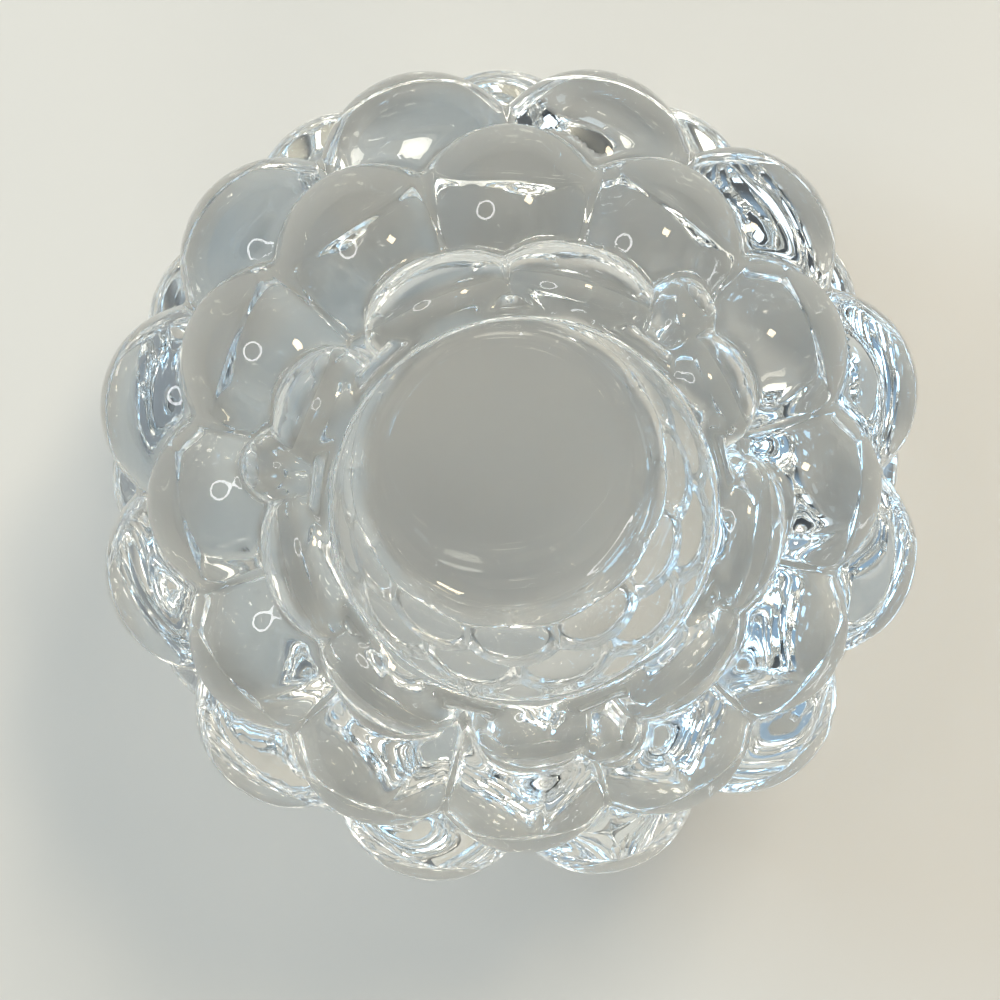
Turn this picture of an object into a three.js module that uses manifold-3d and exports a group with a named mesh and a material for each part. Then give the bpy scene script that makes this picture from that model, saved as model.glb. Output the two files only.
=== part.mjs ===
// A votive candle holder pressed from one gather of clear glass. Rows of round drops cover the outside,
// packed like the drupelets of a berry, and one tapered well for the candle goes down the middle.
// Millimetres and degrees, +Z up; the origin is the centre of the flat foot that the holder stands on.

import * as THREE from "three";
import { mergeVertices } from "three/addons/utils/BufferGeometryUtils.js";
import Module from "manifold-3d";

// The candle, and the well that takes it
const CANDLE_DIAMETER = 38.5; // a tealight in its metal cup
const CANDLE_CLEARANCE = 0.75; // all round, at the bottom of the well
const WELL_DRAFT = 1.2; // the wall leans out by this much, so that the plunger of the mould lets go
const WELL_CORNER = 2.2; // rounding between the wall and the floor of the well
const BASE_THICKNESS = 30.7; // solid glass under the well

// The foot
const FOOT_RADIUS = 24;
const FOOT_CLEARANCE = 0.2; // the lowest drops hang this far above the table

// Drops: how far their centres stand out from the wall of the well, and how round they are
const BELLY_STANDOFF = 17.5; // the two widest rows
const BELLY_DROP_RADIUS = 12.8;
const SHOULDER_STANDOFF = 10.5; // the row above the belly
const SHOULDER_DROP_RADIUS = 11.5;
const UNDER_STANDOFF = 10.5; // the row that turns in below the belly
const UNDER_DROP_RADIUS = 11.5;
const RIM_STANDOFF = 1.3; // the well cuts these drops in two
const RIM_DROP_RADIUS = 8.2;
const FILLER_STANDOFF = 6.3; // small drops that close the gaps in the rim row
const FILLER_DROP_RADIUS = 4.6;

// Heights, each row over the one below it
const UNDER_RISE = 15;
const BELLY_PITCH = 17;
const SHOULDER_RISE = 15;
const RIM_RISE = 12;
const FILLER_DIP = 2; // fillers sit this much lower than the rim drops

// The lip: a rounded band that runs level around the mouth and joins the rim drops
const LIP_RISE = 6.5; // the edge of the mouth over the centres of the rim drops
const LIP_WIDTH = 3.6;
const LIP_ROUND = 1.8;
const LIP_FLARE = 50; // above the edge the rim drops are cut back at this angle from the axis

// Places around the axis
const DROPS_PER_ROW = 12;
const RIM_REPEATS = 3; // the mould closes in three parts, and each part carries the same rim drops
const RIM_START = 49; // azimuth of the first filler
const RIM_OFFSETS = [-18.7, -59, -99]; // azimuths of the large rim drops, from the filler before them

// Fineness of the facets
const DROP_SEGMENTS = 14;
const DROP_RINGS = 7;
const ROUND_SEGMENTS = 60;
const CORNER_SEGMENTS = 5;

const rad = THREE.MathUtils.degToRad;

// Sizes that follow from those above
const wellRadius = CANDLE_DIAMETER / 2 + CANDLE_CLEARANCE;
const underHeight = UNDER_DROP_RADIUS + FOOT_CLEARANCE;
const lowBellyHeight = underHeight + UNDER_RISE;
const highBellyHeight = lowBellyHeight + BELLY_PITCH;
const shoulderHeight = highBellyHeight + SHOULDER_RISE;
const rimHeight = shoulderHeight + RIM_RISE;
const lipHeight = rimHeight + LIP_RISE;
const aboveRim = rimHeight + 2 * RIM_DROP_RADIUS; // clear of everything, for the top of the cut
const draft = rad(WELL_DRAFT);
const mouthRadius = wellRadius + (lipHeight - BASE_THICKNESS) * Math.tan(draft);
const halfPitch = 180 / DROPS_PER_ROW;

// One even row of drops. Rows alternate by half a pitch, so that each drop nests between two below it.
function evenRow(start, standoff, height, radius) {
  const row = [];
  for (let i = 0; i < DROPS_PER_ROW; i++) {
    row.push({ azimuth: start + 2 * halfPitch * i, ring: wellRadius + standoff, height, radius });
  }
  return row;
}

// The rim row: in each third of the circle one small filler and then the large drops.
function rimRow() {
  const row = [];
  for (let part = 0; part < RIM_REPEATS; part++) {
    const azimuth = RIM_START - (360 / RIM_REPEATS) * part;
    row.push({
      azimuth,
      ring: wellRadius + FILLER_STANDOFF,
      height: rimHeight - FILLER_DIP,
      radius: FILLER_DROP_RADIUS,
    });
    for (const offset of RIM_OFFSETS) {
      row.push({
        azimuth: azimuth + offset,
        ring: wellRadius + RIM_STANDOFF,
        height: rimHeight,
        radius: RIM_DROP_RADIUS,
      });
    }
  }
  return row;
}

const drops = [
  ...evenRow(halfPitch, UNDER_STANDOFF, underHeight, UNDER_DROP_RADIUS),
  ...evenRow(0, BELLY_STANDOFF, lowBellyHeight, BELLY_DROP_RADIUS),
  ...evenRow(halfPitch, BELLY_STANDOFF, highBellyHeight, BELLY_DROP_RADIUS),
  ...evenRow(0, SHOULDER_STANDOFF, shoulderHeight, SHOULDER_DROP_RADIUS),
  ...rimRow(),
];

const wasm = await Module();
wasm.setup();

// A geometry as a solid that can be joined and cut
function solid(geometry) {
  const bare = new THREE.BufferGeometry();
  bare.setAttribute("position", geometry.getAttribute("position"));
  if (geometry.index) {
    bare.setIndex(geometry.index);
  }
  const merged = mergeVertices(bare, 1e-4);
  const mesh = new wasm.Mesh({
    numProp: 3,
    vertProperties: new Float32Array(merged.getAttribute("position").array),
    triVerts: new Uint32Array(merged.index.array),
  });
  return new wasm.Manifold(mesh);
}

// A profile of (radius, height) points turned around +Z
function turned(points) {
  return new THREE.LatheGeometry(points, ROUND_SEGMENTS).rotateX(Math.PI / 2);
}

// A drop with one pole of its sphere at the outermost point
function dropGeometry({ azimuth, ring, height, radius }) {
  const sphere = new THREE.SphereGeometry(radius, DROP_SEGMENTS, DROP_RINGS).rotateZ(-Math.PI / 2);
  return sphere.translate(ring, 0, height).rotateZ(rad(azimuth));
}

// The core that the drops grow from: it passes through the centres of the rows and ends in the lip.
const lipOutside = mouthRadius + LIP_WIDTH;
const coreProfile = new THREE.Path()
  .moveTo(0, 0)
  .lineTo(FOOT_RADIUS, 0)
  .lineTo(wellRadius + UNDER_STANDOFF, underHeight)
  .lineTo(wellRadius + BELLY_STANDOFF, lowBellyHeight)
  .lineTo(wellRadius + BELLY_STANDOFF, highBellyHeight)
  .lineTo(wellRadius + SHOULDER_STANDOFF, shoulderHeight)
  .lineTo(lipOutside, rimHeight)
  .lineTo(lipOutside, lipHeight - LIP_ROUND)
  .absarc(lipOutside - LIP_ROUND, lipHeight - LIP_ROUND, LIP_ROUND, 0, Math.PI / 2, false)
  .lineTo(0, lipHeight);
const core = turned(coreProfile.getPoints(CORNER_SEGMENTS));

// The space of the well: a flat floor, a rounded corner, a wall that leans out, and a flare at the mouth.
const cornerRadius = wellRadius + WELL_CORNER * (Math.tan(draft) - 1 / Math.cos(draft));
const flareRadius = mouthRadius + (aboveRim - lipHeight) * Math.tan(rad(LIP_FLARE));
const wellProfile = new THREE.Path()
  .moveTo(0, BASE_THICKNESS)
  .lineTo(cornerRadius, BASE_THICKNESS)
  .absarc(cornerRadius, BASE_THICKNESS + WELL_CORNER, WELL_CORNER, -Math.PI / 2, -draft, false)
  .lineTo(mouthRadius, lipHeight)
  .lineTo(flareRadius, aboveRim)
  .lineTo(0, aboveRim);
const well = turned(wellProfile.getPoints(CORNER_SEGMENTS));

let glass = solid(core);
for (const drop of drops) {
  glass = glass.add(solid(dropGeometry(drop)));
}
glass = glass.subtract(solid(well));

// Back to a geometry
const cut = glass.getMesh();
const geometry = new THREE.BufferGeometry();
geometry.setAttribute("position", new THREE.BufferAttribute(new Float32Array(cut.vertProperties), 3));
geometry.setIndex(new THREE.BufferAttribute(new Uint32Array(cut.triVerts), 1));
geometry.computeVertexNormals();

const clearGlass = new THREE.MeshStandardMaterial({
  color: 0xdfe5e6,
  roughness: 0.04,
  metalness: 0,
  transparent: true,
  opacity: 0.45,
});

const holder = new THREE.Mesh(geometry, clearGlass);
holder.name = "glass_holder";

const group = new THREE.Group();
group.name = "votive_holder";
group.add(holder);

export default group;
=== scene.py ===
# %% [markdown]
# # A votive holder of clear pressed glass
# The holder is one casting: a thick cup covered with round drops, like a berry, with a plain tapered
# well in the middle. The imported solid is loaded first. It is faceted, and facets show badly in glass,
# so a finely sampled surface of nearly the same sizes takes its place here.

# %% Load the frame
import math

import bpy
import numpy as np
from mathutils import Matrix, Vector


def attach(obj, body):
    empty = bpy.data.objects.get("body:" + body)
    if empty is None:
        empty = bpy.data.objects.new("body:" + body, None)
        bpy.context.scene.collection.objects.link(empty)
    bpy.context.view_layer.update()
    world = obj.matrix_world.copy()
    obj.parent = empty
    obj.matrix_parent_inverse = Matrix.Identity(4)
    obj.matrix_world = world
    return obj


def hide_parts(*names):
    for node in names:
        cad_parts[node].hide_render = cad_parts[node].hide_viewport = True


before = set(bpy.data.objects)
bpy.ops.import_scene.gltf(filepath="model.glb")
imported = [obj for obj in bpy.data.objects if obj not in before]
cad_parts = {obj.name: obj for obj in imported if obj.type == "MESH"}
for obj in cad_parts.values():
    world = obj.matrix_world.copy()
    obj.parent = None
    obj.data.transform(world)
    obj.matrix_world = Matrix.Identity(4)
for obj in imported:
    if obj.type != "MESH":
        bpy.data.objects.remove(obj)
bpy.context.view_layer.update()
MM = 0.001  # sizes below are in millimetres, and meshes in metres

# %% [markdown]
# ## Round drops
# Four even rows of twelve drops nest in each other, half a pitch apart, from the foot up to the
# shoulder. They could be spheres joined by a Boolean modifier, but that leaves sharp creases. So a
# round drop is kept as four numbers, its centre and its radius, and joined softly later on.
# Pressed glass is never quite even, so each drop is a few tenths of a millimetre smaller and out of
# place.

# %% Round drops
DROPS_PER_ROW = 12
BELLY = dict(ring=37.5, radius=12.8)
SHOULDER = dict(ring=30.5, radius=11.5)
UNDER = dict(ring=30.5, radius=11.5)
UNDER_HEIGHT = 11.7
LOW_BELLY_HEIGHT = UNDER_HEIGHT + 15.0
HIGH_BELLY_HEIGHT = LOW_BELLY_HEIGHT + 17.0
SHOULDER_HEIGHT = HIGH_BELLY_HEIGHT + 15.0
UNEVEN = 0.25
SEED = 7

def row_of_drops(azimuths, ring, radius, height):
    """Centres on a circle around +Z, one drop at each azimuth in degrees, as rows of x, y, z, radius."""
    turn = np.radians(azimuths)
    one = np.ones_like(turn)
    return np.stack([ring * np.cos(turn), ring * np.sin(turn), height * one, radius * one], axis=1)

even = np.arange(DROPS_PER_ROW) * 360.0 / DROPS_PER_ROW
half_pitch = 180.0 / DROPS_PER_ROW
round_drops = np.concatenate([
    row_of_drops(even + half_pitch, height=UNDER_HEIGHT, **UNDER),
    row_of_drops(even, height=LOW_BELLY_HEIGHT, **BELLY),
    row_of_drops(even + half_pitch, height=HIGH_BELLY_HEIGHT, **BELLY),
    row_of_drops(even, height=SHOULDER_HEIGHT, **SHOULDER),
])
chance = np.random.default_rng(SEED)
round_drops[:, :3] += chance.uniform(-UNEVEN, UNEVEN, (len(round_drops), 3))
round_drops[:, 3] -= chance.uniform(UNEVEN, 2 * UNEVEN, len(round_drops))
print(len(round_drops), "round drops")

# %% [markdown]
# ## Long drops of the rim
# The drops of the rim are drawn out along the mouth and taper at both ends. The mould closes in three
# parts, and each part carries a small filler, a middling drop and two large ones. A long drop is an
# egg bent around the axis: an azimuth, a ring, a height, and three half sizes.

# %% Long drops
RIM_RING = 23.4
RIM_HEIGHT = SHOULDER_HEIGHT + 12.2
FILLER_RING = 25.4
FILLER_DIP = 1.0
LARGE = (8.9, 5.3, 7.0)  # half sizes around the mouth, across it and upwards
MIDDLING = (6.9, 5.4, 6.8)
FILLER = (4.0, 5.2, 5.6)
MOULD_PARTS = 3
FIRST_FILLER = 49.0  # azimuth in degrees; the next lines give the turn from a filler to the others
MIDDLING_TURN = 103.0
LARGE_TURN, OTHER_LARGE_TURN = 61.5, 25.5

def row_of_long_drops(azimuths, ring, height, sizes):
    """One long drop at each azimuth in degrees, as rows of azimuth, ring, height and half sizes."""
    return np.column_stack([azimuths, np.tile([ring, height, *sizes], (len(azimuths), 1))])

fillers = FIRST_FILLER - 360.0 / MOULD_PARTS * np.arange(MOULD_PARTS)
long_drops = np.concatenate([
    row_of_long_drops(fillers, FILLER_RING, RIM_HEIGHT - FILLER_DIP, FILLER),
    row_of_long_drops(fillers + MIDDLING_TURN, RIM_RING, RIM_HEIGHT, MIDDLING),
    row_of_long_drops(fillers + LARGE_TURN, RIM_RING, RIM_HEIGHT, LARGE),
    row_of_long_drops(fillers + OTHER_LARGE_TURN, RIM_RING, RIM_HEIGHT, LARGE),
])
long_drops[:, :3] += chance.uniform(-UNEVEN, UNEVEN, (len(long_drops), 3))
print(len(long_drops), "long drops")

# %% [markdown]
# ## Soft joining
# From here on the glass is a distance: for every point of space one number says how far the glass is,
# below zero inside and above zero outside. Joining shapes means taking the smallest distance, and
# cutting means taking the largest. A soft smallest, made with exponentials, fills each crease with a
# little curve, as molten glass does. The same step, turned round, melts the edges of mouth and foot.

# %% Soft joining
CREASE_BLEND = 0.5
RIM_BLEND = 0.35
EDGE_BLEND = 0.3
FOOT_BLEND = 1.2

def soft_least(distances, blend):
    """-k log(sum(exp(-d / k))): the smallest distance, with a smooth turn where two are alike."""
    least = distances.min(axis=0)
    return least - blend * np.log(np.exp((least - distances) / blend).sum(axis=0))

print("a crease between two drops is filled by", round(CREASE_BLEND * math.log(2), 2), "mm")

# %% [markdown]
# ## Distances to the drops
# The distance to a ball is plain. An egg has no plain one, so it gets a near one, good close to its
# surface, and being bent around the mouth it is measured along the ring instead of straight across.

# %% Distances to the drops
TINY = 1e-6  # keeps a division away from zero

def long_drop_distance(radius, turn, z, drop):
    """Near distance to a bent egg: n (n - 1) / m, with n = |p / s| and m = |p / s^2| for half sizes s."""
    azimuth, ring, height, *sizes = drop
    around = (turn - math.radians(azimuth) + math.pi) % (2 * math.pi) - math.pi
    parts = [part / size for part, size in zip((ring * around, radius - ring, z - height), sizes)]
    n = np.sqrt(sum(part ** 2 for part in parts))
    m = np.sqrt(sum((part / size) ** 2 for part, size in zip(parts, sizes)))
    return n * (n - 1.0) / np.maximum(m, TINY)

def drop_distances(x, y, z):
    """Distances to the round drops, from their centres less their radius, and to the long ones."""
    radius, turn = np.hypot(x, y), np.arctan2(y, x)
    balls = [np.sqrt((x - cx) ** 2 + (y - cy) ** 2 + (z - cz) ** 2) - size
             for cx, cy, cz, size in round_drops]
    return balls, [long_drop_distance(radius, turn, z, drop) for drop in long_drops]

to_balls, to_eggs = drop_distances(np.zeros(1), np.zeros(1), np.full(1, RIM_HEIGHT))
print("distances to", len(to_balls), "balls and", len(to_eggs), "eggs")
print("from the middle of the mouth to the nearest ball:", round(float(np.min(to_balls)), 1), "mm")

# %% [markdown]
# ## The core
# Behind the drops lies solid glass. It could be a lathed profile, made with the Screw modifier. Here
# only the distance to that profile is needed, which is worked out from its corners.

# %% The core
BASE_THICKNESS = 30.7
WELL_RADIUS = 19.6  # at the floor of the well
WELL_CORNER = 4.5
WELL_DRAFT = math.radians(0.7)
FOOT_RADIUS = 27.0
BELOW_TABLE = 5.0  # the core goes on below the table, which cuts it off later
LIP_HEIGHT = RIM_HEIGHT + 5.6
LIP_ROUND = 1.0
MOUTH_RADIUS = WELL_RADIUS + (LIP_HEIGHT - BASE_THICKNESS) * math.tan(WELL_DRAFT)
LIP_OUTSIDE = MOUTH_RADIUS + 2 * LIP_ROUND

def profile_distance(radius, height, corners):
    """Distance to a closed outline of (radius, height) corners, below zero inside.

    The distance is the least one to any edge. A point is inside if a level line from it crosses
    the outline an odd number of times.
    """
    squared = np.full(radius.shape, np.inf)
    inside = np.zeros(radius.shape, bool)
    for (r0, z0), (r1, z1) in zip(corners, corners[1:] + corners[:1]):
        dr, dz = r1 - r0, z1 - z0
        along = np.clip(((radius - r0) * dr + (height - z0) * dz) / (dr ** 2 + dz ** 2), 0.0, 1.0)
        gap = (radius - r0 - along * dr) ** 2 + (height - z0 - along * dz) ** 2
        squared = np.minimum(squared, gap)
        if dz:
            crosses = (z0 <= height) != (z1 <= height)
            inside ^= crosses & (radius < r0 + (height - z0) * dr / dz)
    return np.where(inside, -1.0, 1.0) * np.sqrt(squared)

CORE = [
    (-FOOT_RADIUS, -BELOW_TABLE),
    (FOOT_RADIUS, -BELOW_TABLE),
    (FOOT_RADIUS, 0.0),
    (UNDER["ring"], UNDER_HEIGHT),
    (BELLY["ring"], LOW_BELLY_HEIGHT),
    (BELLY["ring"], HIGH_BELLY_HEIGHT),
    (SHOULDER["ring"], SHOULDER_HEIGHT),
    (LIP_OUTSIDE, RIM_HEIGHT),
    (LIP_OUTSIDE, LIP_HEIGHT - LIP_ROUND),
    (-FOOT_RADIUS, LIP_HEIGHT - LIP_ROUND),
]
print("core of", len(CORE), "corners, mouth", round(2 * MOUTH_RADIUS, 1), "mm across")

# %% [markdown]
# ## The whole glass
# Drops, core and a thin round lip are joined. Then the plunger of the mould presses the well, a cone
# with a round corner at its floor, and the table cuts the foot flat.

# %% The whole glass
def glass_distance(x, y, z):
    """The soft union of drops, core and lip, cut by the well and by the table under the foot."""
    radius = np.hypot(x, y)
    balls, eggs = drop_distances(x, y, z)
    core = profile_distance(radius, z, CORE)
    lip = np.hypot(radius - MOUTH_RADIUS - LIP_ROUND, z - LIP_HEIGHT + LIP_ROUND) - LIP_ROUND
    rim = soft_least(np.stack(eggs + [lip]), RIM_BLEND)
    outside = soft_least(np.stack(balls + [core, rim]), CREASE_BLEND)
    wall_radius = WELL_RADIUS + (z - BASE_THICKNESS) * math.tan(WELL_DRAFT)
    wall = (radius - wall_radius) * math.cos(WELL_DRAFT)
    floor = BASE_THICKNESS - z
    a, b = np.maximum(wall + WELL_CORNER, 0.0), np.maximum(floor + WELL_CORNER, 0.0)
    well = np.hypot(a, b) - WELL_CORNER + np.minimum(np.maximum(wall, floor) + WELL_CORNER, 0.0)
    cut = soft_least(np.stack([-outside, well]), EDGE_BLEND)
    return -soft_least(np.stack([cut, z]), FOOT_BLEND)

IN_WALL = np.array([[26.0], [0.0], [40.0]])
print("a point in the wall lies", round(-float(glass_distance(*IN_WALL)[0]), 2), "mm deep")

# %% [markdown]
# ## The surface
# The surface is a grid. One parameter goes round the axis, and the other goes along a meridian: out
# over the foot, up the drops, over the lip, down the well and in to the middle of its floor. Each
# grid point starts inside the glass and walks along its own ray until the distance is zero. The rays
# start on a line through the middle of the wall and turn with it, so they never cross.

# %% The rays of a meridian
MERIDIAN = [  # radius and height of a ray's start, its angle up from level, and rows to the next line
    (0.0, 14.0, -90, 3),
    (16.5, 14.0, -90, 14),
    (19.5, 14.5, -64, 18),
    (24.0, 20.0, -28, 28),
    (26.0, 30.0, -3, 22),
    (26.5, 40.0, 4, 30),
    (26.0, 51.7, 22, 26),
    (27.0, 56.0, 45, 38),
    (21.5, 71.2, 45, 12),
    (21.4, 73.6, 62, 12),
    (21.2, 75.2, 100, 8),
    (21.2, 75.0, 150, 6),
    (21.4, 73.0, 180, 4),
    (22.0, 35.7, 180, 9),
    (21.1, 29.2, 135, 9),
    (14.8, 24.0, 90, 3),
    (0.0, 24.0, 90, 0),
]

def along_meridian(lines):
    """The starts and angles of all the rays of one meridian, evenly spread between the lines."""
    table = np.array(lines, float)
    knots = np.concatenate([[0.0], np.cumsum(table[:-1, 3])])
    rows = np.arange(int(knots[-1]) + 1)
    return [np.interp(rows, knots, table[:, k])[:, None] for k in range(3)]

def walk_to_surface(start_r, start_z, angle, turn, steps):
    """Sphere tracing from inside: each step goes as far as the distance allows, until it is zero."""
    up = np.radians(angle)
    walked = np.zeros(np.broadcast_shapes(angle.shape, turn.shape))
    for _ in range(steps):
        r = start_r + walked * np.cos(up)
        z = start_z + walked * np.sin(up)
        walked -= glass_distance(r * np.cos(turn), r * np.sin(turn), z)
    r = start_r + walked * np.cos(up)
    z = start_z + walked * np.sin(up)
    return np.stack([r * np.cos(turn), r * np.sin(turn), z])

rays = along_meridian(MERIDIAN)
print(len(rays[0]), "rays along each meridian")

# %% [markdown]
# ## Columns that follow the creases
# Evenly spaced columns would cross each crease with a step or two, and glass shows that as a comb of
# false lines. So a first, coarse walk finds where two drops are equally near, and the columns of each
# row are drawn together there. A second walk then finds the surface on the gathered columns.

# %% The grid
COLUMNS = 408
COARSE_COLUMNS = 720
COARSE_STEPS, FINE_STEPS = 12, 40
GATHERING = 2.0  # extra columns at a crease, as a multiple of those on open glass
CREASE_REACH = 2.0
ROW_SHARES = [0.1, 0.2, 0.4, 0.2, 0.1]  # weights of a row's neighbours, itself in the middle

def gathered_turns(first_walk, turn):
    """Azimuths that cut the sum of 1 + g s exp(-(gap / w)^2) evenly along each row.

    The gap is the second-nearest drop less the nearest. The share s is how fast the gap changes along
    the row, so that a crease that runs along the row gathers nothing. Rows near each other are averaged.
    """
    balls, eggs = drop_distances(*first_walk)
    near = np.partition(np.stack(balls + eggs), 1, axis=0)
    gap = near[1] - near[0]
    change = np.abs(np.roll(gap, -1, axis=1) - gap) / (np.hypot(*first_walk[:2]) * turn[1] + TINY)
    change = np.maximum(change, np.roll(change, 1, axis=1))
    weight = GATHERING * np.clip(change, 0.0, 1.0) * np.exp(-(gap / CREASE_REACH) ** 2)
    margin = len(ROW_SHARES) // 2
    padded = np.pad(weight, ((margin, margin), (0, 0)), mode="edge")
    weight = 1.0 + sum(share * padded[k:k + len(weight)] for k, share in enumerate(ROW_SHARES))
    total = np.cumsum(np.concatenate([0 * weight[:, :1], weight], axis=1), axis=1)
    ends = np.append(turn, 2 * math.pi)
    steps = np.arange(COLUMNS) / COLUMNS
    return np.stack([np.interp(steps * row[-1], row, ends) for row in total])

coarse = np.arange(COARSE_COLUMNS) * 2 * math.pi / COARSE_COLUMNS
turns = gathered_turns(walk_to_surface(*rays, coarse[None], COARSE_STEPS), coarse)
surface = walk_to_surface(*rays, turns, FINE_STEPS)
print("grid", surface.shape[1:], "top", round(surface[2].max(), 2), "mm")

# %% [markdown]
# ## The mesh
# The first and the last row of the grid are single points, the poles in the middle of the foot and of
# the well floor. They become one vertex each, with a fan of triangles, and quads fill the rest, so
# the mesh is closed and light can be followed into the glass and out again. Glass shows the smallest
# fault in shading, so the normals come from the distance itself and not from the faces.

# %% The glass mesh
def surface_normals(x, y, z, step=0.01):
    """Directions in which the distance grows fastest, from differences over a small step."""
    slope = np.stack([
        glass_distance(x + step, y, z) - glass_distance(x - step, y, z),
        glass_distance(x, y + step, z) - glass_distance(x, y - step, z),
        glass_distance(x, y, z + step) - glass_distance(x, y, z - step),
    ])
    return slope / np.linalg.norm(slope, axis=0)

def poles_and_rows(grid):
    """The first pole, every point of the rows between, and the last pole, as rows of three numbers."""
    body = grid[:, 1:-1].reshape(3, -1).T
    return np.concatenate([grid[:, :1, 0].T, body, grid[:, -1:, 0].T])

def closed_mesh(name, grid):
    """Fans at both poles, and quads between neighbouring rows and columns."""
    rows, columns = grid.shape[1:]
    points = poles_and_rows(grid) * MM
    index = 1 + np.arange((rows - 2) * columns).reshape(rows - 2, columns)
    ahead = np.roll(index, -1, axis=1)
    quads = np.stack([index[:-1], ahead[:-1], ahead[1:], index[1:]], axis=-1).reshape(-1, 4)
    first = np.stack([np.zeros(columns, int), ahead[0], index[0]], axis=-1)
    last = np.stack([np.full(columns, len(points) - 1), index[-1], ahead[-1]], axis=-1)
    mesh = bpy.data.meshes.new(name)
    mesh.from_pydata(points.tolist(), [], first.tolist() + quads.tolist() + last.tolist())
    mesh.shade_smooth()
    mesh.normals_split_custom_set_from_vertices(poles_and_rows(surface_normals(*grid)).tolist())
    return mesh

glass = bpy.data.objects.new("glass_body", closed_mesh("glass_body", surface))
bpy.context.collection.objects.link(glass)
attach(glass, "root")
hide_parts("glass_holder")
print(len(glass.data.vertices), "vertices,", len(glass.data.polygons), "faces")

# %% [markdown]
# ## The clear glass
# Clear glass has almost no colour of its own. What shows is what it bends and mirrors. Pressed glass
# keeps faint ripples from the mould and a thin uneven film from handling, so a soft noise bends and
# tints the surface a little, and another varies its roughness. Through six centimetres of it a little
# light is lost, most of it red, which leaves the thick parts cooler and darker than the well floor.

# %% Glass material
GLASS_INDEX = 1.52
RIPPLE_SCALE = 70.0  # per metre, so waves of about 14 mm
RIPPLE_DETAIL, FILM_DETAIL = 1.0, 4.0
RIPPLE_STRENGTH = 0.04
RIPPLE_HEIGHT = 1.0 * MM
FILM_SCALE = 60.0
FILM_RANGE = (0.4, 0.8)  # the part of the noise in which the film goes from none to most
FILM_ROUGHNESS = 0.012
TINTS = (0.955, 0.972, 0.975, 1.0), (0.985, 0.988, 0.98, 1.0)
DEPTH_COLOUR = (0.76, 0.80, 0.82, 1.0)
DEPTH_DENSITY = 6.0  # per metre

def clear_glass():
    """Principled glass; noise on Object coordinates drives a ripple, the film and a faint tint."""
    material = bpy.data.materials.new("clear_glass")
    material.use_nodes = True
    nodes, links = material.node_tree.nodes, material.node_tree.links
    shader = nodes["Principled BSDF"]
    shader.inputs["Transmission Weight"].default_value = 1.0
    shader.inputs["IOR"].default_value = GLASS_INDEX
    place = nodes.new("ShaderNodeTexCoord")
    ripple = nodes.new("ShaderNodeTexNoise")
    ripple.inputs["Scale"].default_value = RIPPLE_SCALE
    ripple.inputs["Detail"].default_value = RIPPLE_DETAIL
    bump = nodes.new("ShaderNodeBump")
    bump.inputs["Strength"].default_value = RIPPLE_STRENGTH
    bump.inputs["Distance"].default_value = RIPPLE_HEIGHT
    film = nodes.new("ShaderNodeTexNoise")
    film.inputs["Scale"].default_value = FILM_SCALE
    film.inputs["Detail"].default_value = FILM_DETAIL
    rough = nodes.new("ShaderNodeMapRange")
    rough.inputs["From Min"].default_value, rough.inputs["From Max"].default_value = FILM_RANGE
    rough.inputs["To Min"].default_value = 0.0
    rough.inputs["To Max"].default_value = FILM_ROUGHNESS
    tint = nodes.new("ShaderNodeValToRGB")
    tint.color_ramp.elements[0].color, tint.color_ramp.elements[1].color = TINTS
    depth = nodes.new("ShaderNodeVolumeAbsorption")
    depth.inputs["Color"].default_value = DEPTH_COLOUR
    depth.inputs["Density"].default_value = DEPTH_DENSITY
    links.new(depth.outputs["Volume"], nodes["Material Output"].inputs["Volume"])
    links.new(place.outputs["Object"], ripple.inputs["Vector"])
    links.new(place.outputs["Object"], film.inputs["Vector"])
    links.new(ripple.outputs["Fac"], bump.inputs["Height"])
    links.new(bump.outputs["Normal"], shader.inputs["Normal"])
    links.new(film.outputs["Fac"], rough.inputs["Value"])
    links.new(rough.outputs["Result"], shader.inputs["Roughness"])
    links.new(ripple.outputs["Fac"], tint.inputs["Fac"])
    links.new(tint.outputs["Color"], shader.inputs["Base Color"])
    return material

glass.data.materials.append(clear_glass())
print("glass with", len(glass.data.materials[0].node_tree.nodes), "nodes")

# %% [markdown]
# ## Floor
# Glass is often shown on a light table, because light from below keeps a thick piece clear. The floor
# is wide and pale, glows a little, and lies a hair under the foot so that the two faces don't fight.

# %% Floor
FLOOR_GAP = 0.1
FLOOR_REACH = 6000.0
FLOOR_COLOUR = (0.515, 0.51, 0.482, 1.0)
FLOOR_GLOW = 0.26
FLOOR_ROUGHNESS = 0.9

def pale_floor():
    """A square of four corners under the foot, with a soft warm-white finish."""
    mesh = bpy.data.meshes.new("floor")
    r, z = FLOOR_REACH * MM, -FLOOR_GAP * MM
    mesh.from_pydata([(-r, -r, z), (r, -r, z), (r, r, z), (-r, r, z)], [], [(0, 1, 2, 3)])
    material = bpy.data.materials.new("floor")
    material.use_nodes = True
    shader = material.node_tree.nodes["Principled BSDF"]
    shader.inputs["Base Color"].default_value = FLOOR_COLOUR
    shader.inputs["Emission Color"].default_value = FLOOR_COLOUR
    shader.inputs["Emission Strength"].default_value = FLOOR_GLOW
    shader.inputs["Roughness"].default_value = FLOOR_ROUGHNESS
    mesh.materials.append(material)
    return bpy.data.objects.new("floor", mesh)

floor = pale_floor()
bpy.context.collection.objects.link(floor)
print("floor", 2 * FLOOR_REACH * MM, "m wide")

# %% [markdown]
# ## Room
# Glass is drawn by what stands around it. The room is a dim grey with four soft sides, pale grey,
# cream, warm white and cool blue, so that every drop has lighter and darker parts to bend. A picture
# of a real room would do the same, but plain sides are easier to set and to understand.

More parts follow.
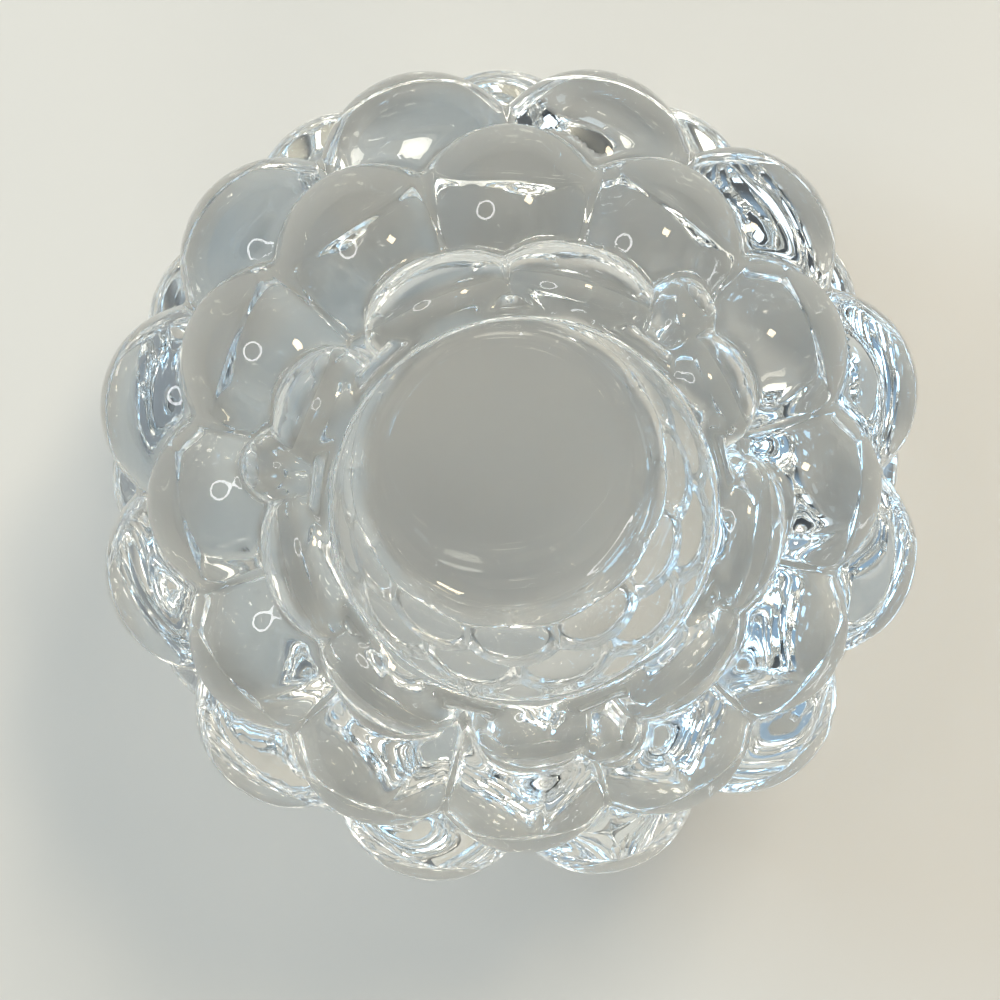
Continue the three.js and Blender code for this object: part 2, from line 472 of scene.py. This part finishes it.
# %% Room
ROOM_TONE = (0.06, 0.07, 0.08)
ROOM_SIDES = [  # direction, the angles from it where the side is full and where it is gone, colour
    ((1.0, 0.0, 0.2), 15, 45, (0.30, 0.33, 0.35)),
    ((0.1, -0.9, 0.3), 15, 40, (0.69, 0.63, 0.49)),
    ((0.1, 0.75, 0.65), 20, 60, (0.82, 0.77, 0.66)),
    ((-0.9, 0.35, 0.3), 15, 40, (0.34, 0.50, 0.66)),
]
SHARE, BEFORE, AFTER = 0, 6, 7  # inputs of a Mix node set to colours, which share their names
MIXED = 2  # and its output

world = bpy.data.worlds.new("room")
bpy.context.scene.world = world
world.use_nodes = True
room_nodes, room_links = world.node_tree.nodes, world.node_tree.links
facing = room_nodes.new("ShaderNodeTexCoord").outputs["Generated"]

def room_side(tone, toward, full, gone, colour):
    """Mixes a colour in around a direction: all of it within one angle, none beyond another, in degrees."""
    lean = room_nodes.new("ShaderNodeVectorMath")
    lean.operation = "DOT_PRODUCT"
    lean.inputs[1].default_value = Vector(toward).normalized()
    fade = room_nodes.new("ShaderNodeMapRange")
    fade.interpolation_type = "SMOOTHSTEP"
    fade.inputs["From Min"].default_value = math.cos(math.radians(gone))
    fade.inputs["From Max"].default_value = math.cos(math.radians(full))
    blend = room_nodes.new("ShaderNodeMix")
    blend.data_type = "RGBA"
    blend.inputs[AFTER].default_value = (*colour, 1.0)
    room_links.new(facing, lean.inputs[0])
    room_links.new(lean.outputs["Value"], fade.inputs["Value"])
    room_links.new(fade.outputs["Result"], blend.inputs[SHARE])
    if isinstance(tone, tuple):
        blend.inputs[BEFORE].default_value = (*tone, 1.0)
    else:
        room_links.new(tone, blend.inputs[BEFORE])
    return blend.outputs[MIXED]

room = ROOM_TONE
for side in ROOM_SIDES:
    room = room_side(room, *side)
room_links.new(room, world.node_tree.nodes["Background"].inputs["Color"])
print("room with", len(ROOM_SIDES), "sides")

# %% [markdown]
# ## Lamps
# A warm-white lamp above and a cool window on one side light the holder, and two weaker cards fill in
# from the other sides. A drop turns light over, so each of them brightens the drops opposite to it.
# They are kept out of the mirror images, because their squares would show on every drop. A small warm
# lamp is mirrored, and leaves a small spot on many of the drops.

# %% Lamps
AIM = Vector((0.0, 0.0, 0.04))  # in metres, the middle of the holder
LAMPS = [  # name, place and width in metres, power in watts, colour, and whether drops mirror it
    ("overhead", (0.31, 0.60, 0.73), 0.3, 5.6, (1.0, 0.91, 0.78), False),
    ("window", (-0.84, 0.34, 0.40), 0.35, 4.6, (0.42, 0.73, 1.0), False),
    ("cream_card", (-0.15, -0.8, 0.33), 0.35, 2.0, (1.0, 0.94, 0.82), False),
    ("pale_card", (-0.72, -0.50, 0.30), 0.3, 0.6, (0.80, 0.92, 1.0), False),
    ("warm_lamp", (0.3, 0.42, 0.8), 0.12, 1.2, (1.0, 0.82, 0.55), True),
]

def soft_lamp(name, place, size, power, colour, mirrored):
    """A square lamp at a place in metres, turned to face the holder."""
    lamp = bpy.data.lights.new(name, "AREA")
    lamp.size = size
    lamp.energy = power
    lamp.color = colour
    thing = bpy.data.objects.new(name, lamp)
    thing.location = place
    thing.rotation_euler = (AIM - Vector(place)).to_track_quat("-Z", "Y").to_euler()
    thing.visible_glossy = mirrored
    bpy.context.collection.objects.link(thing)

for lamp in LAMPS:
    soft_lamp(*lamp)

# %% [markdown]
# ## Ring light
# A ring light leaves a small bright ring on each drop that leans its way, and shows how round the
# drops are. Lamps come as squares and discs, so the ring is a flat mesh that glows.

# %% Ring light
RING_PLACE = (-0.41, 0.26, 0.77)
RING_RADIUS, RING_WIDTH = 0.13, 0.033
RING_STRENGTH = 12.0
RING_CORNERS = 64

def ring_light(place, radius, width, strength):
    """A flat ring of light: two circles of corners joined by quads, facing the holder."""
    near = np.arange(RING_CORNERS)
    ahead = np.roll(near, -1)
    turn = near * 2 * math.pi / RING_CORNERS
    circle = np.stack([np.cos(turn), np.sin(turn), 0 * turn], axis=-1)
    toward = np.array((AIM - Vector(place)).to_track_quat("-Z", "Y").to_matrix())
    points = np.concatenate([circle * radius, circle * (radius + width)]) @ toward.T + np.array(place)
    quads = np.stack([near, ahead, ahead + RING_CORNERS, near + RING_CORNERS], axis=-1)
    mesh = bpy.data.meshes.new("ring_light")
    mesh.from_pydata(points.tolist(), [], quads.tolist())
    material = bpy.data.materials.new("ring_light")
    material.use_nodes = True
    shader = material.node_tree.nodes["Principled BSDF"]
    shader.inputs["Base Color"].default_value = (0, 0, 0, 1)
    shader.inputs["Emission Color"].default_value = (1, 1, 1, 1)
    shader.inputs["Emission Strength"].default_value = strength
    mesh.materials.append(material)
    return bpy.data.objects.new("ring_light", mesh)

ring = ring_light(RING_PLACE, RING_RADIUS, RING_WIDTH, RING_STRENGTH)
bpy.context.collection.objects.link(ring)
print("ring light of", len(ring.data.polygons), "faces")

# %% [markdown]
# ## Camera
# The camera looks into the mouth, almost straight down the axis and leaning a few degrees towards +Y
# and -X, with +Y up in the picture.

# %% Camera
CAMERA_PLACE = Vector((-9.96, 28.17, 320.1)) * MM
LEAN_LEFT, LEAN_UP, ROLL = map(math.radians, (1.75, 6.3, 1.3))  # towards -X, towards +Y, and of roll
SENSOR_WIDTH = 36.0
FOCAL_SHARE = 2.314  # focal length over the width of the picture
NEAR_CLIP = 10.0 * MM

back = Vector((-math.tan(LEAN_LEFT), math.tan(LEAN_UP), 1.0)).normalized()
level = Vector((0, 1, 0)).cross(back).normalized()
right = Matrix.Rotation(-ROLL, 3, back) @ level
upward = back.cross(right)
turned = Matrix((right, upward, back)).transposed().to_4x4()
camera = bpy.data.objects.new("camera", bpy.data.cameras.new("camera"))
camera.data.sensor_width = SENSOR_WIDTH
camera.data.sensor_fit = "HORIZONTAL"
camera.data.lens = SENSOR_WIDTH * FOCAL_SHARE
camera.data.clip_start = NEAR_CLIP
camera.matrix_world = Matrix.Translation(CAMERA_PLACE) @ turned
bpy.context.collection.objects.link(camera)
bpy.context.scene.camera = camera
bpy.context.scene.view_settings.view_transform = "Standard"
print("camera", [round(v / MM, 1) for v in camera.location], "mm, lens", camera.data.lens)

# %% [markdown]
# ## Finish
# Light crosses many surfaces in a lump of glass, so paths are allowed more turns than usual.

# %% Finish
MOST_TURNS = 24
MOST_MIRRORINGS = 12

cycles = bpy.context.scene.cycles
cycles.max_bounces = MOST_TURNS
cycles.transmission_bounces = MOST_TURNS
cycles.glossy_bounces = MOST_MIRRORINGS
